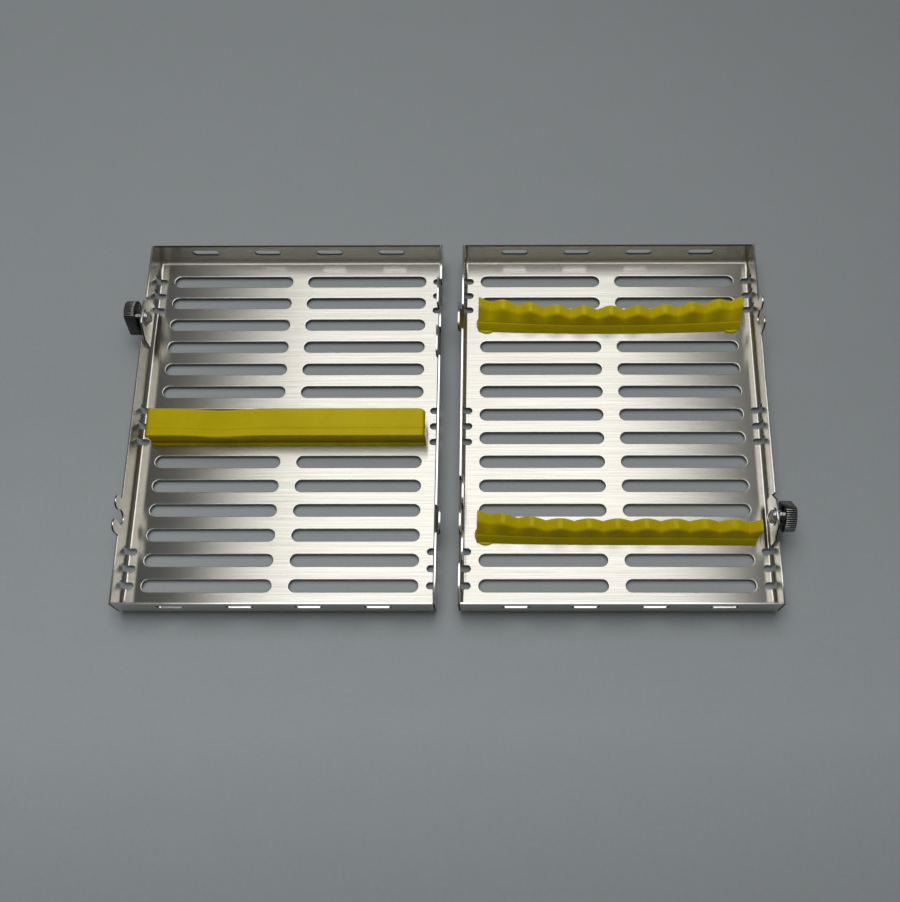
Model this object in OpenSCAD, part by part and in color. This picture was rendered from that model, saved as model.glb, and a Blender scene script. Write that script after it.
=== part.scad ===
// Instrument cassette: two identical slotted steel halves that fold together on a row of
// hinge tabs and lock with two quarter-turn knobs. Silicone rails hold the instruments.
// The origin is on the ground, midway between the halves as they lie open.

/* [Halves] */
// Width of each half, from the hinge side to the latch side
half_w = 140; // [120:1:180]
// Length of each half, along the hinge
half_len = 180; // [178:1:220]
// Height of the walls above the underside of the floor
wall_h = 12.5; // [11:0.5:20]
// Thickness of the sheet steel
sheet = 0.9; // [0.6:0.1:1.2]
// Inside radius of the bends
bend_r = 1.5; // [0.5:0.1:2]
// Width of the open seams at the corners of the walls
seam_w = 0.3; // [0.2:0.05:0.5]
// Gap between the two halves when they lie open
halves_gap = 9.6; // [9:0.2:14]
// Gap left between the wall edges when the cassette is shut
shut_gap = 0.2; // [0.1:0.1:0.6]

/* [Floor slots] */
// Number of slot rows
slot_rows = 14; // [10:1:14]
// Distance from one slot row to the next
slot_pitch = 12; // [11:0.5:12.5]
// Width of a floor slot
slot_w = 5.9; // [5.6:0.1:7]
// Steel left between a slot's end and the wall
slot_end_gap = 7.75; // [5:0.25:12]
// Steel left between the two slots of a row
slot_bridge = 7.7; // [6:0.1:12]

/* [Edge slots and slits] */
// Width of the slots that cross the long bends
edge_slot_w = 3; // [2:0.1:4]
// Reach of an edge slot into the floor, from the inner face of the wall
edge_slot_floor = 4; // [2.5:0.1:5]
// Reach of an edge slot up the wall, from the underside
edge_slot_rise = 5.6; // [4:0.1:7]
// Distance between neighbouring edge slots
edge_slot_pitch = 8; // [6:0.5:9]
// Distance from the end of the half to the middle of the nearest group of edge slots
edge_group_end = 20; // [16:1:22]
// Length of a slit in the end walls
slit_l = 12.3; // [8:0.1:16]
// Height of a slit in the end walls
slit_h = 3.3; // [2:0.1:4]
// Height of the middle of the slits above the underside
slit_z = 8.1; // [6.5:0.1:8.5]
// Number of slits in each end wall
slits = 4; // [2:1:4]
// Distance from one slit to the next
slit_pitch = 30; // [24:1:32]

/* [Hinge tabs] */
// Distance from the end of the half to the middle of the nearest group of tabs
tab_group_end = 39.2; // [36:0.1:44]
// Width of the outer hinge tab
outer_tab_w = 12; // [8:0.1:12]
// Width of each inner hinge tab
inner_tab_w = 13.8; // [10:0.1:14]
// Distance from the middle of the group to the middle of each inner tab
inner_tab_offset = 13; // [13:0.1:14]
// Gap between the outer tab and the other half's wall
outer_tab_clear = 0.8; // [0.7:0.1:0.9]
// Gap between an inner tab and the other half's wall
inner_tab_clear = 0.3; // [0.2:0.1:0.6]
// How far the tabs stand above the wall
tab_rise = 2.3; // [1:0.1:2.3]
// How far below the wall's edge the tabs leave it
tab_drop = 4.5; // [3.5:0.1:6]
// Height over which a tab steps sideways
tab_step = 2; // [1:0.1:2.5]
// Width of the slit cut beside each tab and ear
relief_w = 0.6; // [0.4:0.1:1]
// Height of the straight root that joins each tab and ear to its wall
root_h = 0.3; // [0.2:0.1:0.5]

/* [Latch ears] */
// Distance from the end of the half to the nearest latch
latch_end = 40; // [36:1:45]
// Width of the notched ear
hook_w = 17; // [16:0.5:19]
// How far the notched ear stands above the wall
hook_rise = 6.6; // [6:0.1:7]
// Diameter of the notch in the ear
notch_d = 6.8; // [6.7:0.1:7]
// Width of the notch's open mouth
mouth_w = 5; // [4.9:0.1:5.4]
// Width of the stud's ear at its foot
stud_ear_w = 22; // [21:0.5:24]
// Width of the stud's ear along its top edge
stud_ear_top_w = 11.5; // [9:0.5:14]
// How far below the wall's edge the stud's ear starts to narrow
stud_ear_shoulder = 1; // [0.5:0.5:2]
// How far the stud's ear stands above the wall
stud_ear_rise = 5.5; // [5:0.1:6]
// How far below the wall's edge the stud's ear leaves it
stud_ear_drop = 8.2; // [8.2:0.1:8.6]
// Height over which the stud's ear steps inwards
stud_ear_step = 1.2; // [0.8:0.1:1.2]
// Gap between the stud's ear and the other half's wall
ear_clear = 0.4; // [0.3:0.1:0.6]

/* [Latch knobs] */
// Diameter of the knob
knob_d = 15.4; // [12:0.1:16]
// Width of the knob along its axis
knob_w = 5.2; // [4:0.1:8]
// Distance across the knob's two flats
knob_flats = 11; // [9:0.1:13]
// Size of the chamfers round the knob
knob_chamfer = 0.6; // [0.3:0.1:1]
// Number of knurling grooves in a full turn
knurls = 44; // [30:2:60]
// Depth of the knurling grooves
knurl_depth = 0.35; // [0.2:0.05:0.5]
// Gap between the knob and the outside of the wall
knob_gap = 0.9; // [0.5:0.1:2]
// Angle from upright of the flats on the lid's knob, to the front
lid_knob_turn = 70; // [0:1:90]
// Angle from upright of the flats on the base's knob, to the back
base_knob_turn = 48; // [0:1:90]
// Diameter of the stud where it passes the notch
neck_d = 6.4; // [6:0.1:6.5]
// Distance across the two flats of the stud's neck
neck_flats = 4.5; // [4:0.1:4.7]
// Diameter of the stud's shank in the ear
shank_d = 4.8; // [4:0.1:5.2]
// Radial gap between the shank and the ear
shank_clear = 0.05; // [0.03:0.01:0.1]
// Diameter of the stud's end inside the knob
spigot_d = 4; // [3:0.1:4.5]
// Depth of the hole in the knob
spigot_l = 4; // [3:0.1:4]
// Diameter of the stud's domed head
head_d = 6.6; // [6:0.1:8]
// Height of the stud's domed head
head_h = 2; // [1.5:0.1:2.5]
// Outer diameter of the spring washer
washer_d = 8; // [7:0.1:9]
// Thickness of the spring washer
washer_t = 0.5; // [0.3:0.1:0.8]
// End play on each side of the spring washer
washer_play = 0.05; // [0.02:0.01:0.1]

/* [Silicone rails] */
// Gap between each end of an instrument rail and the wall
rail_end_gap = 6.6; // [6.3:0.1:12]
// Number of slot rows left free between each rail and the end of the base
rail_free_rows = 2; // [1:1:3]
// Number of instrument seats in a rail
seats = 10; // [8:1:10]
// Distance from one seat to the next
seat_pitch = 12.7; // [11:0.1:12.7]
// Depth of a seat below the crests
seat_depth = 3.7; // [2:0.1:4.5]
// Height of a rail above the floor
rail_h = 10; // [8:0.1:10.5]
// Thickness of a rail's web
web_t = 5.4; // [4:0.1:6]
// How far the web's middle stands behind the row of studs
web_back = 1.5; // [0:0.1:1.9]
// Width of a rail's foot
foot_w = 9.4; // [9:0.1:12]
// Thickness of a rail's foot
foot_t = 2; // [1.2:0.1:3]
// Gap between each end of the press bar and the wall
bar_end_gap = 5.6; // [5:0.1:12]
// Width of the press bar's foot
bar_foot_w = 8.4; // [7.4:0.1:9]
// Height of the press bar above the floor
bar_h = 10; // [8:0.1:10.5]
// Thickness of the press bar's head
bar_head_t = 2.4; // [1.5:0.1:3]
// Reach of the head in front of the studs
bar_lip = 3.7; // [3:0.1:5]
// Reach of the head behind the studs
bar_back = 10.1; // [6:0.1:11]
// Diameter of the studs that hold the rails in the slots
stud_d = 5.6; // [4:0.1:5.8]
// Diameter of the stud heads below the floor
foot_d = 8.6; // [8:0.1:9]
// Thickness of the stud heads, which lift the halves off the ground
foot_h = 1.2; // [0.8:0.1:2]
// Diameter of the round pads at the rail ends
pad_d = 10.8; // [9:0.1:11]
// Thickness of the round pads
pad_t = 0.8; // [0.5:0.1:1.2]

/* [Hidden] */
$fn = 48;

hinge_x = halves_gap / 2;
latch_x = hinge_x + half_w;
half_x = hinge_x + half_w / 2;
floor_z = foot_h + sheet;
edge_z = foot_h + wall_h;
axis_z = edge_z + shut_gap / 2;
inner_w = half_w - 2 * sheet;
slot_l = (inner_w - slot_bridge) / 2 - slot_end_gap;
slot_x = (slot_bridge + slot_l) / 2;
edge_group_y = half_len / 2 - edge_group_end;
tab_group_y = half_len / 2 - tab_group_end;
latch_y = half_len / 2 - latch_end;
rail_l = inner_w - 2 * rail_end_gap;
bar_l = inner_w - 2 * bar_end_gap;
stud_x = (slot_bridge - slot_w) / 2 + slot_l;
inner_stud_x = (slot_bridge + slot_w) / 2;
ear_step = sheet + ear_clear;
ear_face_x = latch_x - ear_step;
knob_x = latch_x + knob_gap;
head_x = ear_face_x - sheet - 2 * washer_play - washer_t;
prong_r = (hook_w - mouth_w) / 4;
edge_slot_r = edge_slot_w / 2;
rail_y = ((slot_rows - 1) / 2 - rail_free_rows) * slot_pitch;
bar_y = (floor((slot_rows - 1) / 2) - (slot_rows - 1) / 2) * slot_pitch;
cut = sheet;

steel = "silver";
dark_steel = "dimgray";
silicone = "gold";
half_turn = 180;

// A box whose two lower long edges on each side are rounded like a bend in sheet metal
module bent_block(w, l, h, r) {
    intersection() {
        translate([0, l / 2, 0]) rotate([90, 0, 0]) linear_extrude(l) rounded_foot(w, h, r);
        translate([-w / 2, 0, 0]) rotate([90, 0, 90]) linear_extrude(w) rounded_foot(l, h, r);
    }
}

module rounded_foot(w, h, r) {
    translate([-w / 2, r]) square([w, h - r]);
    translate([-w / 2 + r, 0]) square([w - 2 * r, h]);
    for (side = [-1, 1]) {
        translate([side * (w / 2 - r), r]) circle(r);
    }
}

// A flat slot with round ends, l long over the ends
module slot_2d(l, w) {
    square([l - w, w], center = true);
    for (end = [-1, 1]) {
        translate([end * (l - w) / 2, 0]) circle(w / 2);
    }
}

module half_shell() {
    translate([half_x, 0, foot_h]) difference() {
        bent_block(half_w, half_len, wall_h, bend_r + sheet);
        translate([0, 0, sheet]) {
            bent_block(inner_w, half_len - 2 * sheet, wall_h, bend_r);
        }
    }
}

module floor_slots() {
    translate([half_x, 0, foot_h - cut]) linear_extrude(sheet + 2 * cut) {
        for (row = [0 : slot_rows - 1], side = [-1, 1]) {
            translate([side * slot_x, (row - (slot_rows - 1) / 2) * slot_pitch]) {
                slot_2d(slot_l, slot_w);
            }
        }
    }
}

// One slot across a long bend, drawn for the latch side
module edge_slot() {
    floor_reach = edge_slot_floor + sheet + cut - edge_slot_r;
    bend = sheet + bend_r + cut / 2;
    translate([latch_x + cut - floor_reach, 0, foot_h - cut]) linear_extrude(cut + bend) {
        circle(edge_slot_r);
        translate([0, -edge_slot_r]) square([floor_reach, edge_slot_w]);
    }
    translate([latch_x - bend, 0, foot_h]) rotate([90, 0, 90]) linear_extrude(bend + cut) {
        translate([0, edge_slot_rise - edge_slot_r]) circle(edge_slot_r);
        translate([-edge_slot_r, -cut]) square([edge_slot_w, edge_slot_rise - edge_slot_r + cut]);
    }
}

module edge_slots() {
    for (group = [-1, 0, 1], place = [-1, 0, 1]) {
        translate([0, group * edge_group_y + place * edge_slot_pitch, 0]) {
            edge_slot();
            translate([2 * half_x, 0, 0]) mirror([1, 0, 0]) edge_slot();
        }
    }
}

module end_slits() {
    for (i = [0 : slits - 1], end = [-1, 1]) {
        x = half_x + (i - (slits - 1) / 2) * slit_pitch;
        translate([x, end * (half_len - sheet) / 2, foot_h + slit_z]) {
            rotate([90, 0, 0]) linear_extrude(sheet + 2 * cut, center = true) slot_2d(slit_l, slit_h);
        }
    }
}

// The end walls stand free of the side walls above the bends
module corner_seams() {
    for (side = [-1, 1], end = [-1, 1]) {
        translate([
            half_x + side * (inner_w - seam_w) / 2 - seam_w / 2,
            end * (half_len - sheet) / 2 - sheet / 2 - cut,
            floor_z + bend_r
        ]) cube([seam_w, sheet + 2 * cut, wall_h]);
    }
}

// A plate that leaves the wall at drop below its edge, steps sideways and rises above it
module stepped_plate(x, offset, drop, step, rise, w) {
    low = edge_z - drop;
    translate([x, w / 2, 0]) rotate([90, 0, 0]) linear_extrude(w) polygon([
        [0, low - root_h], [sheet, low - root_h], [sheet, low],
        [sheet + offset, low + step], [sheet + offset, edge_z + rise],
        [offset, edge_z + rise], [offset, low + step], [0, low]
    ]);
}

// The wall is opened where a tab or an ear leaves it
module tab_gap(x, drop, w) {
    translate([x - cut, -w / 2 - relief_w, edge_z - drop]) {
        cube([sheet + 2 * cut, w + 2 * relief_w, drop + cut]);
    }
}

// Middle and offset of every hinge tab: one outer tab at the back, two inner tabs in front
HINGE_TABS = [
    [tab_group_y, outer_tab_w, -sheet - outer_tab_clear],
    [-tab_group_y - inner_tab_offset, inner_tab_w, sheet + inner_tab_clear],
    [-tab_group_y + inner_tab_offset, inner_tab_w, sheet + inner_tab_clear]
];

module hinge_tabs() {
    for (tab = HINGE_TABS) {
        translate([0, tab[0], 0]) stepped_plate(hinge_x, tab[2], tab_drop, tab_step, tab_rise, tab[1]);
    }
}

module hinge_gaps() {
    for (tab = HINGE_TABS) {
        translate([0, tab[0], 0]) tab_gap(hinge_x, tab_drop, tab[1]);
    }
}

module notched_ear() {
    translate([latch_x - sheet, latch_y, edge_z]) rotate([90, 0, 90]) linear_extrude(sheet) {
        translate([-hook_w / 2, -root_h]) square([hook_w, hook_rise - prong_r + root_h]);
        for (side = [-1, 1]) {
            translate([side * (hook_w / 2 - prong_r), hook_rise - prong_r]) circle(prong_r);
        }
    }
}

module notch() {
    translate([latch_x - sheet - cut, latch_y, axis_z]) rotate([90, 0, 90]) {
        linear_extrude(sheet + 2 * cut) {
            circle(notch_d / 2);
            translate([-mouth_w / 2, 0]) square([mouth_w, hook_rise + cut]);
        }
    }
}

module stud_ear() {
    half_foot = stud_ear_w / 2;
    half_top = stud_ear_top_w / 2;
    translate([0, -latch_y, 0]) intersection() {
        stepped_plate(latch_x - sheet, -ear_step, stud_ear_drop, stud_ear_step, stud_ear_rise,
            stud_ear_w);
        translate([latch_x - 2 * sheet - ear_step, 0, 0]) rotate([90, 0, 90]) {
            linear_extrude(3 * sheet + ear_step) polygon([
                [-half_foot, 0], [half_foot, 0], [half_foot, edge_z - stud_ear_shoulder],
                [half_top, edge_z + stud_ear_rise], [-half_top, edge_z + stud_ear_rise],
                [-half_foot, edge_z - stud_ear_shoulder]
            ]);
        }
    }
}

module stud_hole() {
    translate([ear_face_x - sheet - cut, -latch_y, axis_z]) rotate([0, 90, 0]) {
        cylinder(h = sheet + 2 * cut, r = shank_d / 2 + shank_clear);
    }
}

// One half, drawn on the right with its hinge side towards the middle
module half_tray() {
    difference() {
        union() {
            difference() {
                half_shell();
                floor_slots();
                edge_slots();
                end_slits();
                corner_seams();
                hinge_gaps();
                translate([0, -latch_y, 0]) tab_gap(latch_x - sheet, stud_ear_drop, stud_ear_w);
            }
            hinge_tabs();
            notched_ear();
            stud_ear();
        }
        notch();
        stud_hole();
    }
}

// The latch is drawn about the axis of the right half's stud
module at_base_latch() {
    translate([0, -latch_y, axis_z]) children();
}

module at_lid_latch() {
    rotate([0, 0, half_turn]) translate([0, -latch_y, axis_z]) children();
}

module along_x(x, h) {
    translate([x, 0, 0]) rotate([90, 0, 90]) linear_extrude(h) children();
}

module knurled_2d() {
    polygon([for (i = [0 : 2 * knurls - 1])
        let (a = i * half_turn / knurls, r = knob_d / 2 - (i % 2) * knurl_depth)
        [r * cos(a), r * sin(a)]]);
}

// The flats face up and down at a turn of 0
module knob(turn) {
    rotate([turn, 0, 0]) difference() {
        intersection() {
            along_x(knob_x, knob_w) intersection() {
                knurled_2d();
                square([knob_d, knob_flats], center = true);
            }
            translate([knob_x, 0, 0]) rotate([0, 90, 0]) rotate_extrude() polygon([
                [0, 0], [knob_d / 2 - knob_chamfer, 0], [knob_d / 2, knob_chamfer],
                [knob_d / 2, knob_w - knob_chamfer], [knob_d / 2 - knob_chamfer, knob_w], [0, knob_w]
            ]);
        }
        translate([knob_x - cut, 0, 0]) rotate([0, 90, 0]) cylinder(h = spigot_l + cut, d = spigot_d);
    }
}

// The neck's flats stand upright, so that it passes the notch's mouth
module latch_stud() {
    along_x(ear_face_x + washer_play, knob_x - ear_face_x - washer_play) intersection() {
        circle(neck_d / 2);
        square([neck_flats, neck_d], center = true);
    }
    along_x(head_x, ear_face_x + washer_play - head_x) circle(shank_d / 2);
    along_x(knob_x, spigot_l) circle(spigot_d / 2);
    dome_r = (head_d * head_d / 4 + head_h * head_h) / (2 * head_h);
    translate([head_x, 0, 0]) rotate([0, -90, 0]) intersection() {
        translate([0, 0, head_h - dome_r]) sphere(dome_r);
        cylinder(h = head_h, d = head_d);
    }
}

module spring_washer() {
    along_x(head_x + washer_play, washer_t) difference() {
        circle(washer_d / 2);
        circle(shank_d / 2 + shank_clear);
    }
}

// Studs that pass the floor slots and spread below them, with round pads above at the ends
module rail_studs(pads) {
    for (side = [-1, 1]) {
        for (x = [inner_stud_x, stud_x]) {
            translate([side * x, 0, 0]) {
                cylinder(h = foot_h, d = foot_d);
                cylinder(h = floor_z + foot_t, d = stud_d);
            }
        }
        if (pads) translate([side * stud_x, 0, floor_z]) cylinder(h = pad_t, d = pad_d);
    }
}

// Height of the rail at x from its middle: level with the crests past the last seat
function rail_top(x) = abs(x) > seats * seat_pitch / 2 ? rail_h
    : rail_h - seat_depth / 2 * (1 + cos(360 * (x / seat_pitch - (seats + 1) / 2)));

module rail_web_2d() {
    steps = 8 * seats + 8;
    polygon(concat(
        [[rail_l / 2, 0], [-rail_l / 2, 0]],
        [for (i = [0 : steps])
            let (x = -rail_l / 2 + rail_l * i / steps)
            [x, rail_top(x)]]
    ));
}

module rail() {
    translate([-rail_l / 2, -foot_w / 2, floor_z]) cube([rail_l, foot_w, foot_t]);
    translate([0, web_back + web_t / 2, floor_z]) rotate([90, 0, 0]) linear_extrude(web_t) rail_web_2d();
    rail_studs(true);
}

module bar() {
    translate([-bar_l / 2, 0, floor_z]) rotate([90, 0, 90]) linear_extrude(bar_l) {
        translate([-bar_foot_w / 2, 0]) square([bar_foot_w, foot_t]);
        translate([-web_t / 2, 0]) square([web_t, bar_h - bar_head_t / 2]);
        translate([-bar_lip, bar_h - bar_head_t]) square([bar_lip + bar_back, bar_head_t]);
    }
    rail_studs(false);
}

module base_tray() { color(steel) half_tray(); }
module lid_tray() { color(steel) rotate([0, 0, half_turn]) half_tray(); }
module rear_rail() { color(silicone) translate([half_x, rail_y, 0]) rail(); }
module front_rail() { color(silicone) translate([half_x, -rail_y, 0]) rail(); }
module press_bar() { color(silicone) translate([-half_x, bar_y, 0]) bar(); }
module base_knob() { color(dark_steel) at_base_latch() knob(-base_knob_turn); }
module base_stud() { color(steel) at_base_latch() latch_stud(); }
module base_spring_washer() { color(steel) at_base_latch() spring_washer(); }
module lid_knob() { color(dark_steel) at_lid_latch() knob(-lid_knob_turn); }
module lid_stud() { color(steel) at_lid_latch() latch_stud(); }
module lid_spring_washer() { color(steel) at_lid_latch() spring_washer(); }

base_tray();
lid_tray();
rear_rail();
front_rail();
press_bar();
base_knob();
base_stud();
base_spring_washer();
lid_knob();
lid_stud();
lid_spring_washer();
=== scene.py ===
import math

import bmesh
import bpy
from mathutils import Matrix, Vector


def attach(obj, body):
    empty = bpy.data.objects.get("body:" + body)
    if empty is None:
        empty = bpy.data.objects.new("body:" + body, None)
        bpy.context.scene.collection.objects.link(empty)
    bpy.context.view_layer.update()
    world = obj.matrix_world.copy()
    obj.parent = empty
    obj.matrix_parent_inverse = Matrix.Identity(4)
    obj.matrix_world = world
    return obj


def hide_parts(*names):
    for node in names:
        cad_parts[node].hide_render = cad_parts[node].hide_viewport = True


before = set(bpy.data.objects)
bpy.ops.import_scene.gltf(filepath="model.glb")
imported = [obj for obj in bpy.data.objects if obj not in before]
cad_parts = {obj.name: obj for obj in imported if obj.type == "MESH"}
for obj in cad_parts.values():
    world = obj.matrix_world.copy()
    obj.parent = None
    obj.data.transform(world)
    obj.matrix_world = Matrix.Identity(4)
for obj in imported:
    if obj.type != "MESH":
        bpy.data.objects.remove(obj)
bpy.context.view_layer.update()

MM = 0.001

# Sheet steel, in metres: how far each half reaches from its middle, and how its edges are eased
REACH_X = 70 * MM
REACH_Y = 90 * MM
GAP = 9.6 * MM
HALF_X = REACH_X + GAP / 2
SHEET_LOW = 1.2 * MM
SHEET = 0.9 * MM
BEND_OUT = 2.4 * MM
TAB_REACH = 2.3 * MM
JUST_OVER_FLOOR = SHEET_LOW + 1.1 * SHEET
SLOT_ROLL = 0.33 * MM
EDGE_ROLL = 0.12 * MM

# Turned steel, in metres: how its edges are broken
STUD_ROLL = 0.12 * MM
WASHER_ROLL = 0.1 * MM

# How meshes are cleaned, in metres, and how their faces and edges are told apart
MERGE = 0.001 * MM
SLIVER = 0.0005 * MM
FLAT_ANGLE = math.radians(0.5)
SHARP_ANGLE = math.radians(40)
CUT_ANGLE = math.radians(60)
MOSTLY = 0.5
NEARLY_LEVEL = 0.9
BROAD_FACES_LEAD = 100

# Silicone studs and pads, in millimetres, as everything down to the knobs is
FLOOR_TOP = (SHEET_LOW + SHEET) / MM
STUDS_X = (-58.4, -6.8, 6.8, 58.4)
BUTTON_R = 4.3
BUTTON_TOP = -SHEET / MM
BUTTON_ROLL = 0.4
NECK_R = 2.8
NECK_LOW = -1.2
NECK_TOP = 1.0
NECK_ROLL = 0.1
PAD_X = STUDS_X[-1]
PAD_R = 5.0
PAD_H = 0.8
PAD_ROLL = 0.35
DISC_SIDES = 40
CLOSE = 0.01

# Rails: the cross-section's points are of Y and Z
RAIL_Y = 54
RAIL_HALF = 62.5
RAIL_H = 10
RAIL_BACK = 4.2
RAIL_FRONT = -1.2
FOOT = 4.7
FOOT_TOP = 2
FOOT_LIP = 0.4
GROOVE_TOP = (-2.6, 4.2)
GROOVE_IN = (-2.4, 3.9)
LEDGE = (-3.0, 3.7)
FRONT_ROLL = 1.1
BACK_ROLL = 0.5
LEDGE_ROLL = 0.25
RAIL_END_ROLL = 0.25

# Seats of the rails, the crests between them and the creases in them
SEATS = 10
SEAT_PITCH = 12.7
SEAT_DROP = 3.1
SEAT_STEPS = 12
END_CLEAR = 0.4
NEAR_CREST = (-1.4, -1.15, -0.9, -0.65, -0.35, 0, 0.35, 0.65, 0.9, 1.15, 1.4)
CREASE_HALF = 0.3
CREASE_DEPTH = 0.28
CREASE_STEPS = (-2, -1, -0.5, 0, 0.5, 1, 2)
RIB_OUT = 0.9
RIB_HALF = 0.5
RIB_H = 0.14
RIB_BACK = 1.5
RIB_CUTS = (1.4, 2.2)
TOP_DEPTH = 1.2
LEAN_LOW = 2.2
LEAN_POWER = 1.4
LEAN_LIFT = 0.15

# How each rail sags and leans; pairs are for its left end and its right end
REAR_RAIL = {"roundness": 0.5, "slide": 0.4, "stretch": (0.0, -0.3), "sag": -0.4,
             "bow": (1.4, 1.5), "lean": (3.3, 3.3), "lean_from": 15}
FRONT_RAIL = {"roundness": 0.75, "slide": 0.0, "stretch": (0.5, 1.3), "sag": -0.1,
              "bow": (1.0, -0.45), "lean": (2.9, -0.3), "lean_from": 28}

# Press bar: a foot, a web, and a wide head with a bead along it
BAR_HALF = 63.5
BAR_Y = -6
BAR_FOOT = 4.2
BAR_FOOT_TOP = 2
BAR_WEB = 2.7
HEAD_FRONT = -3.7
HEAD_BACK = 10.1
HEAD_LOW = 7.6
HEAD_TOP = 10
WEB_TOP = 7.2
BEAD_Y = 0.6
BEAD_HALF = 0.4
BEAD_TOP = 10.1
BEAD_FOOT_HALF = 0.75
BEAD_FOOT = 9.82
HEAD_ROLL = 0.45
HEAD_LOW_ROLL = 0.35
BEAD_ROLL = 0.25
BAR_FOOT_ROLL = 0.4
BAR_STEP = 2.0
BAR_STEPS = 31
BAR_SAG_X = -30
BAR_SAG_REACH = 11
BAR_SAG_Y = 0.9
BAR_SAG_Z = 0.5
CORNER = 2.5
CORNER_CUT = 1.6
CORNER_BACK = 7.5

# Knobs, drawn about the X axis
KNOB_OFF_WALL = 0.9
KNOB_THICK = 5.2
KNOB_IN = (HALF_X + REACH_X) / MM + KNOB_OFF_WALL
KNOB_OUT = KNOB_IN + KNOB_THICK
KNOB_R = 7.7
KNOB_FLAT = 5.5
KNOB_CHAMFER = 0.45
LATCH_Y = 50
AXIS_Z = 13.8
KNURLS = 50
KNURL_STEPS = 6
KNURL_DEPTH = 0.5
CREST_DEPTH = 0.14
ON_FLAT = 0.001
END_ON = 0.1
BASE_KNOB_TURN = 48
LID_KNOB_TURN = 70

# Camera, as fitted to the photograph
CAMERA_AT = Vector((24.5 * MM, -203.2 * MM, 390.6 * MM))
CAMERA_PITCH = math.radians(15.74)
CAMERA_YAW = math.radians(-1.30)
CAMERA_ROLL = math.radians(-1.25)
FOCAL_PX = 922
CENTRE_PX = (498, 620)
IMAGE_W = 900
IMAGE_H = 902
SENSOR = 36
CLIP_NEAR = 0.01
CLIP_FAR = 20

# Softbox over the table, in metres
LIGHT_AT = (-0.0395, 0.62, 1.12)
LIGHT_W = 0.7465
LIGHT_L = 1.617
LIGHT_TILT = math.radians(25.1)
LIGHT_TURN = math.radians(2.1)
LIGHT_RADIANCE = 1.89

# Room round the table: its colour, and its strengths in front, near the horizon and overhead
ROOM_COLOUR = (0.96, 0.99, 1.0, 1)
ROOM_FRONT = 0.022
HORIZON = 0.2
ROOM_HIGH = 0.10
TO_THE_SIDE = 0.3
LOW_HEIGHT = 0.15
HIGH_HEIGHT = 0.45

# Floor: its paleness, which is painted light and shade, from the back of the table to its front,
# and from left to right
FLOOR_SIZE = 12.0
FLOOR_COLOUR = (0.77, 0.824, 0.845, 1)
FLOOR_PAINTED_LIGHT = ((0.25, 0.93), (0.015, 1.25), (-0.14, 1.68), (-0.21, 1.50))
FLOOR_SIDE = 0.3
PAINTED_LIGHT_LEFT = 1.105
PAINTED_LIGHT_RIGHT = 0.895
FLOOR_GRAIN = (500.0, 60.0, 0.3)
FLOOR_SPECKLE = (0.97, 1.03)
FLOOR_ROUGHNESS = 0.8
BLACK = (0, 0, 0, 1)

# Finishes: grain is a fine scale, a broad scale and the broad share; height is in metres
FINE_DETAIL = 3.0
BROAD_DETAIL = 2.0
GRAIN_SPREAD = (0.3, 0.7)
BRUSH_LINES = 115
BRUSH_GRAIN = (45.0, 10.0, 0.4)
BRUSH_COLOURS = ((0.56, 0.54, 0.486), (0.69, 0.666, 0.603))
BRUSH_ROUGHNESS = (0.27, 0.21)
BRUSH_BUMP = 0.2
ACROSS_THE_LINES = 0.25
METAL_BROAD = 0.15
METAL_SHARE = 0.35
METAL_BUMP = 0.1
FINE_HEIGHT = 0.00002
SILICONE_GRAIN = (1400.0, 60.0, 0.65)
SILICONE_COLOURS = ((0.75, 0.585, 0.0027), (0.88, 0.70, 0.0066))
SILICONE_ROUGHNESS = (0.22, 0.32)
SILICONE_BUMP = 0.2
SILICONE_GLOSS = 0.4
SILICONE_GLOSS_TINT = (1.0, 0.92, 0.15, 1)
SILICONE_DEPTH_SHARE = 0.5
SILICONE_DEPTH_COLOUR = (1.0, 0.6, 0.05)
SILICONE_DEPTH = 0.003


# Node helpers

class Nodes:
    """A small hand for adding and joining the nodes of one tree."""

    def __init__(self, tree):
        self.tree = tree

    def add(self, kind, sockets=None, **settings):
        node = self.tree.nodes.new(kind)
        for key, value in settings.items():
            setattr(node, key, value)
        for key, value in (sockets or {}).items():
            self.put(node.inputs[key], value)
        return node

    def put(self, socket, value):
        if isinstance(value, bpy.types.NodeSocket):
            self.tree.links.new(value, socket)
        else:
            socket.default_value = value

    def math(self, operation, a, b=0.0, c=0.0):
        return self.add("ShaderNodeMath", {0: a, 1: b, 2: c}, operation=operation).outputs[0]

    def ramp(self, value, low, high, to_low=0.0, to_high=1.0):
        node = self.add("ShaderNodeMapRange", {0: value, 1: low, 2: high, 3: to_low, 4: to_high})
        return node.outputs[0]

    def mix(self, factor, a, b):
        node = self.add("ShaderNodeMix", {0: factor, 6: a, 7: b}, data_type="RGBA")
        return node.outputs[2]

    def object_place(self):
        return self.add("ShaderNodeTexCoord").outputs["Object"]


def new_material(name):
    material = bpy.data.materials.new(name)
    material.use_nodes = True
    tree = material.node_tree
    return material, Nodes(tree), tree.nodes["Principled BSDF"]


# Materials

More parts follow.
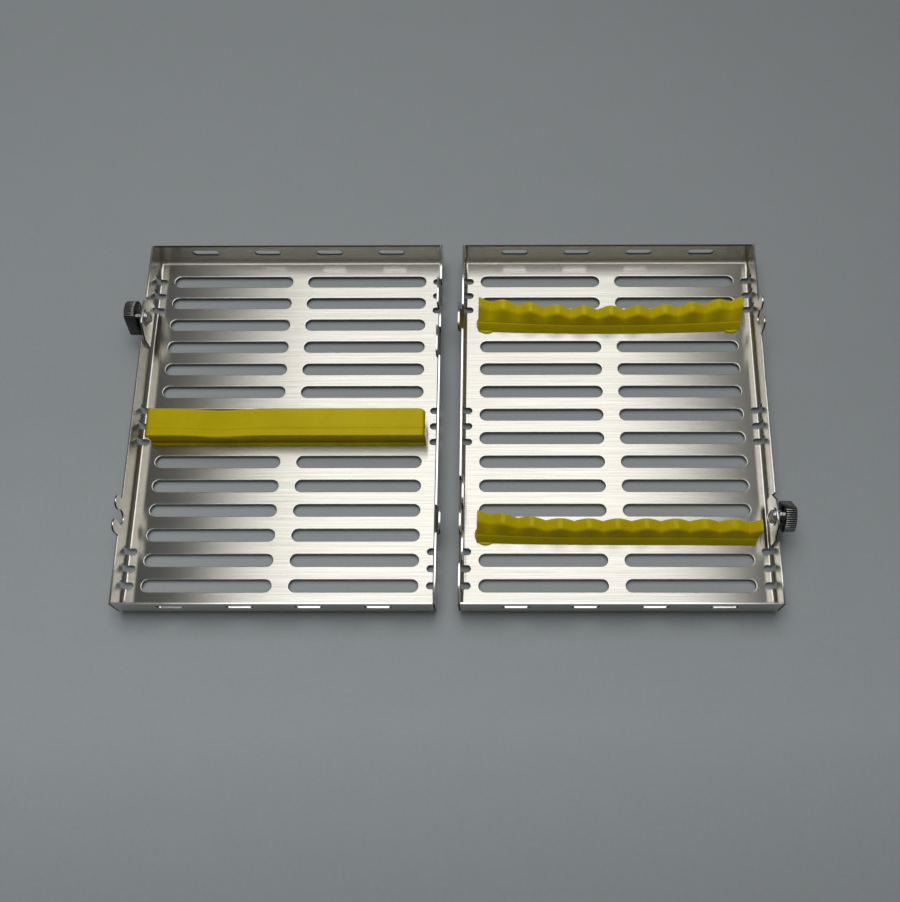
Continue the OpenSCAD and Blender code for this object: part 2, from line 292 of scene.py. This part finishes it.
def grain_group():
    """Fine grain laid over broad cloudiness, as one mask for colour, gloss and height."""
    group = bpy.data.node_groups.new("surface_grain", "ShaderNodeTree")
    ends = group.interface
    ends.new_socket("Place", in_out="INPUT", socket_type="NodeSocketVector")
    for name in ("Fine Scale", "Broad Scale", "Broad Share"):
        ends.new_socket(name, in_out="INPUT", socket_type="NodeSocketFloat")
    ends.new_socket("Mask", in_out="OUTPUT", socket_type="NodeSocketFloat")
    n = Nodes(group)
    given = n.add("NodeGroupInput").outputs
    fine = n.add("ShaderNodeTexNoise", {"Vector": given["Place"], "Scale": given["Fine Scale"],
                                        "Detail": FINE_DETAIL}).outputs[0]
    broad = n.add("ShaderNodeTexNoise", {"Vector": given["Place"], "Scale": given["Broad Scale"],
                                         "Detail": BROAD_DETAIL}).outputs[0]
    more = n.math("SUBTRACT", broad, fine)
    both = n.math("MULTIPLY_ADD", more, given["Broad Share"], fine)
    n.add("NodeGroupOutput", {"Mask": n.ramp(both, *GRAIN_SPREAD)})
    return group


GRAIN = grain_group()


def grain(n, place, fine, broad, share):
    node = n.add("ShaderNodeGroup", node_tree=GRAIN)
    n.put(node.inputs["Place"], place)
    node.inputs["Fine Scale"].default_value = fine
    node.inputs["Broad Scale"].default_value = broad
    node.inputs["Broad Share"].default_value = share
    return node.outputs["Mask"]


def finish(n, shader, mask, colours, roughness, bump_strength):
    """One mask drives a surface's colour, its gloss and its fine height."""
    n.put(shader.inputs["Base Color"], n.mix(mask, colours[0] + (1,), colours[1] + (1,)))
    n.put(shader.inputs["Roughness"], n.ramp(mask, 0.0, 1.0, *roughness))
    bump = n.add("ShaderNodeBump",
                 {"Strength": bump_strength, "Distance": FINE_HEIGHT, "Height": mask})
    n.put(shader.inputs["Normal"], bump.outputs[0])


def brushed_steel():
    """Sheet whose fine lines follow the flat blank, so that they turn with each bend."""
    material, n, shader = new_material("brushed_sheet")
    uv = n.add("ShaderNodeUVMap", uv_map="brush").outputs[0]
    along = n.add("ShaderNodeMapping", {"Vector": uv, "Scale": (1, BRUSH_LINES, 1)}).outputs[0]
    finish(n, shader, grain(n, along, *BRUSH_GRAIN), BRUSH_COLOURS, BRUSH_ROUGHNESS, BRUSH_BUMP)
    shader.inputs["Metallic"].default_value = 1.0
    shader.inputs["Anisotropic"].default_value = 1.0
    shader.inputs["Anisotropic Rotation"].default_value = ACROSS_THE_LINES
    tangent = n.add("ShaderNodeTangent", direction_type="UV_MAP", uv_map="brush")
    n.put(shader.inputs["Tangent"], tangent.outputs[0])
    return material


def grained_metal(name, colours, roughness, scale):
    """A bare metal whose colour and roughness change a little over its grain."""
    material, n, shader = new_material(name)
    mask = grain(n, n.object_place(), scale, scale * METAL_BROAD, METAL_SHARE)
    finish(n, shader, mask, colours, roughness, METAL_BUMP)
    shader.inputs["Metallic"].default_value = 1.0
    return material


def silicone():
    material, n, shader = new_material("moulded_silicone")
    mask = grain(n, n.object_place(), *SILICONE_GRAIN)
    finish(n, shader, mask, SILICONE_COLOURS, SILICONE_ROUGHNESS, SILICONE_BUMP)
    shader.inputs["Specular IOR Level"].default_value = SILICONE_GLOSS
    shader.inputs["Specular Tint"].default_value = SILICONE_GLOSS_TINT
    shader.inputs["Subsurface Weight"].default_value = SILICONE_DEPTH_SHARE
    shader.inputs["Subsurface Radius"].default_value = SILICONE_DEPTH_COLOUR
    shader.inputs["Subsurface Scale"].default_value = SILICONE_DEPTH
    return material


STEEL = brushed_steel()
# One cut-edge steel in two copies: a bright lit copy for rims and level cut faces in front, and a
# near-black copy that paints shade onto upright cut faces and onto every edge at the rear.
LIT_RIM = grained_metal("rolled_rim_lit_copy", ((0.80, 0.785, 0.745), (0.90, 0.885, 0.85)),
                    roughness=(0.14, 0.22), scale=900)
SHADED_CUT = grained_metal("sheared_edge_painted_shade", ((0.027, 0.026, 0.023), (0.067, 0.064, 0.056)),
                    roughness=(0.36, 0.5), scale=1400)
DARK = grained_metal("black_nickel", ((0.05, 0.05, 0.048), (0.10, 0.10, 0.095)),
                     roughness=(0.08, 0.14), scale=900)
# A bright metal for the knurl crests, a painted highlight that shows each knurl as a bright line.
CREST_HIGHLIGHT = grained_metal("crest_painted_highlight", ((0.82, 0.81, 0.78), (0.92, 0.91, 0.88)),
                     roughness=(0.14, 0.2), scale=900)
POLISHED = grained_metal("turned_steel", ((0.72, 0.71, 0.685), (0.82, 0.81, 0.78)),
                         roughness=(0.06, 0.12), scale=700)
SILICONE = silicone()


# Helpers for the pieces

def merged(node):
    """A copy of a CAD node's mesh with its loose triangles joined and its flat faces whole."""
    bm = bmesh.new()
    bm.from_mesh(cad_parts[node].data)
    bmesh.ops.remove_doubles(bm, verts=bm.verts, dist=MERGE)
    bmesh.ops.dissolve_limit(bm, angle_limit=FLAT_ANGLE, verts=bm.verts, edges=bm.edges)
    return bm


def rolled(bm, edges, offset, segments=2):
    return bmesh.ops.bevel(bm, geom=edges, offset=offset, segments=segments, profile=0.5,
                           affect="EDGES", material=-1, clamp_overlap=False)["faces"]


def cut_at(bm, at, normal, clear_outer=False):
    everything = list(bm.verts) + list(bm.edges) + list(bm.faces)
    bmesh.ops.bisect_plane(bm, geom=everything, plane_co=at, plane_no=normal,
                           clear_outer=clear_outer)


def grown(bm, faces, vector):
    """Extrudes the faces and moves what is new; gives its corners and its faces."""
    made = bmesh.ops.extrude_face_region(bm, geom=faces)["geom"]
    corners = [v for v in made if isinstance(v, bmesh.types.BMVert)]
    bmesh.ops.translate(bm, verts=corners, vec=vector)
    return corners, [face for face in made if isinstance(face, bmesh.types.BMFace)]


def to_metres(bm):
    bmesh.ops.scale(bm, verts=bm.verts, vec=(MM, MM, MM))


def piece(bm, name, body, node, materials):
    mesh = bpy.data.meshes.new(name)
    bm.to_mesh(mesh)
    bm.free()
    obj = bpy.data.objects.new(name, mesh)
    bpy.context.scene.collection.objects.link(obj)
    for material in materials:
        mesh.materials.append(material)
    mesh.shade_smooth()
    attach(obj, body)
    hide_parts(node)
    modifier = obj.modifiers.new("even_normals", "WEIGHTED_NORMAL")
    modifier.weight = BROAD_FACES_LEAD
    modifier.keep_sharp = True


# Trays

def in_bend(at):
    return at.z < SHEET_LOW + BEND_OUT


def by_side_wall(at, middle):
    return abs(at.x - middle) > REACH_X - (BEND_OUT if in_bend(at) else TAB_REACH)


def by_end_wall(at):
    return abs(at.y) > REACH_Y - BEND_OUT


def is_broad(face, middle):
    """True where a face is the sheet's broad side, and not its cut edge."""
    at = face.calc_center_median()
    normal = face.normal
    if by_side_wall(at, middle):
        return abs(normal.y) < MOSTLY if in_bend(at) else abs(normal.x) > MOSTLY
    if by_end_wall(at):
        return abs(normal.x) < MOSTLY if in_bend(at) else abs(normal.y) > MOSTLY
    return abs(normal.z) > MOSTLY


def rims(bm, middle):
    """The edges where the sheet's broad sides meet its cut edges."""
    broad = {face: is_broad(face, middle) for face in bm.faces}
    return [edge for edge in bm.edges
            if broad[edge.link_faces[0]] != broad[edge.link_faces[1]]
            and edge.calc_face_angle() > CUT_ANGLE]


def unfold(face, layer, middle):
    """The sheet's own place for each corner, as it lay before it was bent."""
    at = face.calc_center_median()
    beside = by_side_wall(at, middle)
    at_end = by_end_wall(at) and not beside
    for loop in face.loops:
        p = loop.vert.co
        u = p.x + (math.copysign(p.z, at.x - middle) if beside else 0)
        v = p.y + (math.copysign(p.z, at.y) if at_end else 0)
        loop[layer].uv = (u, v)


def top_of(edge):
    return max(v.co.z for v in edge.verts)


def tray(node, body, side):
    """The sheet with its cut edges eased; rims and level cut faces in front take a lit copy of the
    edge steel, while upright cut faces, and every rim and cut face at the rear, take a near-black
    copy that is painted shade.
    """
    middle = side * HALF_X
    bm = merged(node)
    in_floor = [edge for edge in rims(bm, middle) if top_of(edge) < JUST_OVER_FLOOR]
    eased_faces = set(rolled(bm, in_floor, SLOT_ROLL))
    in_walls = [edge for edge in rims(bm, middle) if top_of(edge) > JUST_OVER_FLOOR]
    eased_faces |= set(rolled(bm, in_walls, EDGE_ROLL))
    bmesh.ops.dissolve_degenerate(bm, dist=SLIVER, edges=bm.edges)
    eased_faces = {face for face in eased_faces if face.is_valid}
    materials = [STEEL, LIT_RIM, SHADED_CUT]
    layer = bm.loops.layers.uv.new("brush")
    for face in bm.faces:
        unfold(face, layer, middle)
        # Rims and cut faces past the rear bend take the near-black copy by their place alone:
        # painted shade.
        shade_painted_behind = face.calc_center_median().y > REACH_Y - BEND_OUT
        if face in eased_faces:
            finish_of_face = SHADED_CUT if shade_painted_behind else LIT_RIM
        elif is_broad(face, middle):
            finish_of_face = STEEL
        else:
            # Level cut faces in front take the lit copy, and upright ones the near-black copy:
            # painted light and shade by facing.
            level = abs(face.normal.z) > NEARLY_LEVEL
            finish_of_face = LIT_RIM if level and not shade_painted_behind else SHADED_CUT
        face.material_index = materials.index(finish_of_face)
    piece(bm, node + "_steel", body, node, materials)


# Silicone pieces, drawn in millimetres about their own middle on the sheet's upper face

def prism(outline, half_length):
    """A bar along X whose cross-section is the outline's points of Y and Z."""
    bm = bmesh.new()
    end = bm.faces.new([bm.verts.new((-half_length, y, z)) for y, z in outline])
    grown(bm, [end], (2 * half_length, 0, 0))
    bmesh.ops.recalc_face_normals(bm, faces=bm.faces)
    return bm


def long_edges(bm, *corners):
    """The edges that run the length of a bar at these corners of its cross-section."""
    return [edge for y, z in corners for edge in bm.edges
            if all(abs(v.co.y - y) < CLOSE and abs(v.co.z - z) < CLOSE for v in edge.verts)]


def end_edges(bm, half_length):
    return [edge for edge in bm.edges
            if abs(edge.verts[0].co.x - edge.verts[1].co.x) < CLOSE
            and abs(edge.verts[0].co.x) > half_length - CLOSE]


def disc(bm, x, low, high, radius, roll):
    """A round pad or stud with its edges eased."""
    made = bmesh.ops.create_cone(bm, cap_ends=True, segments=DISC_SIDES, radius1=radius,
                                 radius2=radius, depth=high - low,
                                 matrix=Matrix.Translation((x, 0, (low + high) / 2)))["verts"]
    level = {edge for v in made for edge in v.link_edges
             if abs(edge.verts[0].co.z - edge.verts[1].co.z) < CLOSE}
    rolled(bm, list(level), roll)


def add_studs(bm):
    for x in STUDS_X:
        disc(bm, x, -FLOOR_TOP, BUTTON_TOP, BUTTON_R, BUTTON_ROLL)
        disc(bm, x, NECK_LOW, NECK_TOP, NECK_R, NECK_ROLL)


def set_down(bm, x, y):
    """From a silicone piece's own millimetres to its place on the sheet, in metres."""
    bmesh.ops.translate(bm, verts=bm.verts, vec=(x, y, FLOOR_TOP))
    to_metres(bm)


def seat_phase(x):
    """How far x lies from the nearest seat, from 0 at the seat to 1 at a crest."""
    return abs((x / SEAT_PITCH + SEATS / 2) % 1 - 0.5) * 2


def rail_stations():
    """The places along a rail at which its form changes, closer together at crests and creases."""
    half = SEAT_STEPS // 2
    stations = []
    for seat in range(SEATS + 1):
        crest = (seat - SEATS / 2) * SEAT_PITCH
        stations += [crest + i * SEAT_PITCH / SEAT_STEPS
                     for i in range(1 - half, half) if abs(i) > 1]
        stations += [crest + away for away in NEAR_CREST]
    for seat in range(SEATS):
        middle = (seat + 0.5 - SEATS / 2) * SEAT_PITCH
        stations += [middle + i * CREASE_HALF for i in CREASE_STEPS]
    return [x for x in sorted(stations) if abs(x) < RAIL_HALF - END_CLEAR]


def seat_depth(x, y, roundness):
    """How far the rail's top lies below a crest: the seat, its crease and a rib by each crest."""
    phase = seat_phase(x)
    round_hump = math.sin(phase * math.pi / 2)
    soft_hump = (1 - math.cos(phase * math.pi)) / 2
    hump = roundness * round_hump + (1 - roundness) * soft_hump
    from_seat = phase * SEAT_PITCH / 2
    from_crest = (1 - phase) * SEAT_PITCH / 2
    crease = max(0.0, 1 - from_seat / CREASE_HALF) * CREASE_DEPTH * roundness
    rib = RIB_H * max(0.0, 1 - abs(from_crest - RIB_OUT) / RIB_HALF) * (y < RIB_BACK)
    return SEAT_DROP * (1 - hump) + crease - rib


def rail(node, y, roundness, slide, stretch, sag, bow, lean, lean_from):
    """A scalloped rail that sags along its length and leans back at its ends."""
    outline = [(-FOOT, 0), (FOOT, 0), (FOOT, FOOT_TOP), (RAIL_BACK, FOOT_TOP),
               (RAIL_BACK, RAIL_H), (RAIL_FRONT, RAIL_H),
               GROOVE_TOP, GROOVE_IN, LEDGE, (-FOOT, FOOT_LIP)]
    bm = prism(outline, RAIL_HALF)
    rolled(bm, long_edges(bm, (RAIL_FRONT, RAIL_H)), FRONT_ROLL, segments=5)
    rolled(bm, long_edges(bm, (RAIL_BACK, RAIL_H)), BACK_ROLL, segments=3)
    rolled(bm, long_edges(bm, LEDGE), LEDGE_ROLL)
    rolled(bm, end_edges(bm, RAIL_HALF), RAIL_END_ROLL)
    for x in rail_stations():
        cut_at(bm, (x, 0, 0), (1, 0, 0))
    for across in RIB_CUTS:
        cut_at(bm, (0, across, 0), (0, 1, 0))
    for v in bm.verts:
        x = v.co.x
        end = int(x > 0)
        up = max(0.0, (v.co.z - LEAN_LOW) / (RAIL_H - LEAN_LOW))
        out = (abs(x) / RAIL_HALF) ** 2
        past = max(0.0, (abs(x) - lean_from) / (RAIL_HALF - lean_from))
        back = lean[end] * past ** LEAN_POWER * up
        if v.co.z > RAIL_H - TOP_DEPTH:
            v.co.z -= seat_depth(x, v.co.y, roundness)
        v.co.x += up * (slide + stretch[end] * out)
        v.co.y += sag + bow[end] * out + back
        v.co.z += LEAN_LIFT * back
    add_studs(bm)
    for side in (-1, 1):
        disc(bm, side * PAD_X, 0, PAD_H, PAD_R, PAD_ROLL)
    set_down(bm, HALF_X / MM, y)
    piece(bm, node + "_silicone", "base", node, [SILICONE])


def press_bar():
    """A flat-headed bar, a little squashed left of its middle and cut back at one corner."""
    outline = [
        (-BAR_FOOT, 0), (BAR_FOOT, 0), (BAR_FOOT, BAR_FOOT_TOP), (BAR_WEB, BAR_FOOT_TOP),
        (BAR_WEB, HEAD_LOW), (HEAD_BACK, HEAD_LOW), (HEAD_BACK, HEAD_TOP),
        (BEAD_Y + BEAD_FOOT_HALF, BEAD_FOOT), (BEAD_Y + BEAD_HALF, BEAD_TOP),
        (BEAD_Y - BEAD_HALF, BEAD_TOP), (BEAD_Y - BEAD_FOOT_HALF, BEAD_FOOT),
        (HEAD_FRONT, HEAD_TOP), (HEAD_FRONT, HEAD_LOW), (-BAR_WEB, WEB_TOP),
        (-BAR_WEB, BAR_FOOT_TOP), (-BAR_FOOT, BAR_FOOT_TOP),
    ]
    bm = prism(outline, BAR_HALF)
    head_top = long_edges(bm, (HEAD_FRONT, HEAD_TOP), (HEAD_BACK, HEAD_TOP))
    rolled(bm, head_top, HEAD_ROLL, segments=3)
    rolled(bm, long_edges(bm, (HEAD_FRONT, HEAD_LOW), (HEAD_BACK, HEAD_LOW)), HEAD_LOW_ROLL)
    bead_top = long_edges(bm, (BEAD_Y - BEAD_HALF, BEAD_TOP), (BEAD_Y + BEAD_HALF, BEAD_TOP))
    rolled(bm, bead_top, BEAD_ROLL)
    foot_top = long_edges(bm, (-BAR_FOOT, BAR_FOOT_TOP), (BAR_FOOT, BAR_FOOT_TOP))
    rolled(bm, foot_top, BAR_FOOT_ROLL)
    for i in range(-BAR_STEPS, BAR_STEPS + 1):
        cut_at(bm, (i * BAR_STEP, 0, 0), (1, 0, 0))
    for v in bm.verts:
        up = max(0.0, (v.co.z - HEAD_TOP / 2) / (HEAD_TOP / 2))
        sag = math.exp(-((v.co.x - BAR_SAG_X) / BAR_SAG_REACH) ** 2)
        v.co.y -= BAR_SAG_Y * sag * up
        v.co.z -= BAR_SAG_Z * sag * up * max(0.0, v.co.y / HEAD_TOP)
        if v.co.y > CORNER_BACK:
            in_corner = max(0.0, v.co.x - (BAR_HALF - CORNER)) / CORNER
            v.co.y -= CORNER_CUT * in_corner ** 2
    add_studs(bm)
    set_down(bm, -HALF_X / MM, BAR_Y)
    piece(bm, "press_bar_silicone", "lid", "press_bar", [SILICONE])


# Latches

def knurled_blank():
    """A round bar along X with grooves along it and its ends narrowed to a chamfer."""
    bm = bmesh.new()
    ring = bmesh.ops.create_circle(bm, cap_ends=True, segments=KNURLS * KNURL_STEPS,
                                   radius=KNOB_R,
                                   matrix=Matrix.Rotation(math.pi / 2, 4, "Y"))["verts"]
    for v in ring:
        groove = (1 - math.cos(math.atan2(v.co.z, v.co.y) * KNURLS)) / 2
        v.co *= 1 - KNURL_DEPTH / KNOB_R * groove
    narrow = 1 - KNOB_CHAMFER / KNOB_R
    bmesh.ops.scale(bm, verts=bm.verts, vec=(1, narrow, narrow))
    bmesh.ops.translate(bm, verts=bm.verts, vec=(KNOB_IN, 0, 0))
    corners, cap = grown(bm, list(bm.faces), (KNOB_CHAMFER, 0, 0))
    bmesh.ops.scale(bm, verts=corners, vec=(1, 1 / narrow, 1 / narrow))
    for step, scale in ((KNOB_OUT - KNOB_IN - 2 * KNOB_CHAMFER, 1), (KNOB_CHAMFER, narrow)):
        corners, next_cap = grown(bm, cap, (step, 0, 0))
        bmesh.ops.delete(bm, geom=cap, context="FACES_ONLY")
        bmesh.ops.scale(bm, verts=corners, vec=(1, scale, scale))
        cap = next_cap
    return bm


def is_flat_end(edge):
    """True for the short edges that end the two flats."""
    near, far = edge.verts
    on_flat = all(abs(abs(v.co.z) - KNOB_FLAT) < ON_FLAT for v in edge.verts)
    return on_flat and abs(near.co.x - far.co.x) < ON_FLAT


def knob(node, body, side, turn):
    """A knurled knob with two flats, drawn about the X axis and turned to its place."""
    bm = knurled_blank()
    for up in (-1, 1):
        cut_at(bm, (0, 0, up * KNOB_FLAT), (0, 0, up), clear_outer=True)
        bmesh.ops.edgeloop_fill(bm, edges=[edge for edge in bm.edges if edge.is_boundary])
    bmesh.ops.recalc_face_normals(bm, faces=bm.faces)
    rolled(bm, [edge for edge in bm.edges if is_flat_end(edge)], KNOB_CHAMFER / 2)
    # Crest faces take the bright metal, a painted highlight along each knurl; all else is the
    # near-black body metal.
    materials = [DARK, CREST_HIGHLIGHT]
    for face in bm.faces:
        at = face.calc_center_median()
        on_crest = math.hypot(at.y, at.z) > KNOB_R - CREST_DEPTH and abs(face.normal.x) < END_ON
        face.material_index = materials.index(CREST_HIGHLIGHT if on_crest else DARK)
    bmesh.ops.rotate(bm, verts=bm.verts, matrix=Matrix.Rotation(math.radians(-turn), 3, "X"))
    bmesh.ops.translate(bm, verts=bm.verts, vec=(0, -LATCH_Y, AXIS_Z))
    if side < 0:
        bmesh.ops.rotate(bm, verts=bm.verts, matrix=Matrix.Rotation(math.pi, 3, "Z"))
    to_metres(bm)
    piece(bm, node + "_knurled", body, node, materials)


def eased(node, body, roll):
    """A turned steel piece with its sharp edges broken."""
    bm = merged(node)
    rolled(bm, [edge for edge in bm.edges if edge.calc_face_angle() > SHARP_ANGLE], roll)
    piece(bm, node + "_turned", body, node, [POLISHED])


tray("base_tray", "base", 1)
tray("lid_tray", "lid", -1)
rail("rear_rail", RAIL_Y, **REAR_RAIL)
rail("front_rail", -RAIL_Y, **FRONT_RAIL)
press_bar()
knob("base_knob", "base_latch", 1, BASE_KNOB_TURN)
knob("lid_knob", "lid_latch", -1, LID_KNOB_TURN)
for half in ("base", "lid"):
    eased(half + "_stud", half + "_latch", STUD_ROLL)
    eased(half + "_spring_washer", half + "_latch", WASHER_ROLL)


# Floor, light and camera

def floor_material():
    """A pale matt floor with a painted pool of light: paler in front of the object and on its
    left, and a little darker again at the very front, which is painted shade.
    """
    material, n, shader = new_material("floor")
    place = n.object_place()
    across, depth, _ = n.add("ShaderNodeSeparateXYZ", {0: place}).outputs
    back, front = FLOOR_PAINTED_LIGHT[0][0], FLOOR_PAINTED_LIGHT[-1][0]
    painted_light = n.add("ShaderNodeValToRGB", {0: n.ramp(depth, front, back)})
    stops = painted_light.color_ramp.elements
    while len(stops) < len(FLOOR_PAINTED_LIGHT):
        stops.new(0.5)
    for stop, (at, tone) in zip(stops, reversed(FLOOR_PAINTED_LIGHT)):
        grey = tone / 2
        stop.position = (at - front) / (back - front)
        stop.color = (grey, grey, grey, 1)
    # Paler on the left than on the right: painted light.
    painted_light_across = n.ramp(across, -FLOOR_SIDE, FLOOR_SIDE, PAINTED_LIGHT_LEFT, PAINTED_LIGHT_RIGHT)
    painted_light_and_speckle = n.math("MULTIPLY", painted_light.outputs[0], painted_light_across)
    speckle = n.ramp(grain(n, place, *FLOOR_GRAIN), 0.0, 1.0, *FLOOR_SPECKLE)
    painted_light_and_speckle = n.math("MULTIPLY", painted_light_and_speckle, speckle)
    n.put(shader.inputs["Base Color"], n.mix(painted_light_and_speckle, BLACK, FLOOR_COLOUR))
    shader.inputs["Roughness"].default_value = FLOOR_ROUGHNESS
    return material


def floor():
    mesh = bpy.data.meshes.new("floor")
    bm = bmesh.new()
    bmesh.ops.create_grid(bm, x_segments=1, y_segments=1, size=FLOOR_SIZE)
    bm.to_mesh(mesh)
    bm.free()
    mesh.materials.append(floor_material())
    obj = bpy.data.objects.new("floor", mesh)
    bpy.context.scene.collection.objects.link(obj)


def softbox():
    data = bpy.data.lights.new("softbox", "AREA")
    data.shape = "RECTANGLE"
    data.size = LIGHT_W
    data.size_y = LIGHT_L
    data.energy = LIGHT_RADIANCE * LIGHT_W * LIGHT_L * math.pi
    obj = bpy.data.objects.new("softbox", data)
    obj.location = LIGHT_AT
    obj.rotation_euler = (LIGHT_TILT, 0, LIGHT_TURN)
    bpy.context.scene.collection.objects.link(obj)


def room():
    """Dim overhead and paler round the horizon; less of its soft light comes from the front."""
    world = bpy.data.worlds.new("studio")
    bpy.context.scene.world = world
    world.use_nodes = True
    n = Nodes(world.node_tree)
    background = world.node_tree.nodes["Background"]
    background.inputs["Color"].default_value = ROOM_COLOUR
    toward = n.add("ShaderNodeTexCoord").outputs["Generated"]
    _, depth, height = n.add("ShaderNodeSeparateXYZ", {0: toward}).outputs
    path = n.add("ShaderNodeLightPath").outputs
    seen = n.math("MAXIMUM", path["Is Camera Ray"],
                  n.math("MAXIMUM", path["Is Glossy Ray"], path["Is Transmission Ray"]))
    low = n.ramp(depth, -TO_THE_SIDE, TO_THE_SIDE, ROOM_FRONT, HORIZON)
    low = n.ramp(seen, 0.0, 1.0, low, HORIZON)
    strength = n.ramp(height, LOW_HEIGHT, HIGH_HEIGHT, low, ROOM_HIGH)
    n.put(background.inputs["Strength"], strength)


def camera():
    data = bpy.data.cameras.new("camera")
    obj = bpy.data.objects.new("camera", data)
    bpy.context.scene.collection.objects.link(obj)
    heading = Vector((math.sin(CAMERA_YAW), math.cos(CAMERA_YAW), 0))
    forward = heading * math.sin(CAMERA_PITCH) - Vector((0, 0, math.cos(CAMERA_PITCH)))
    right = Vector((math.cos(CAMERA_YAW), -math.sin(CAMERA_YAW), 0))
    up = right.cross(forward)
    turn = Matrix.Rotation(CAMERA_ROLL, 3, -forward)
    axes = Matrix((turn @ right, turn @ up, -forward)).transposed()
    obj.matrix_world = Matrix.Translation(CAMERA_AT) @ axes.to_4x4()
    data.sensor_width = SENSOR
    data.lens = FOCAL_PX * SENSOR / IMAGE_H
    data.shift_x = (IMAGE_W / 2 - CENTRE_PX[0]) / IMAGE_H
    data.shift_y = (CENTRE_PX[1] - IMAGE_H / 2) / IMAGE_H
    data.clip_start = CLIP_NEAR
    data.clip_end = CLIP_FAR
    bpy.context.scene.camera = obj


floor()
softbox()
room()
camera()
bpy.context.scene.view_settings.view_transform = "Standard"
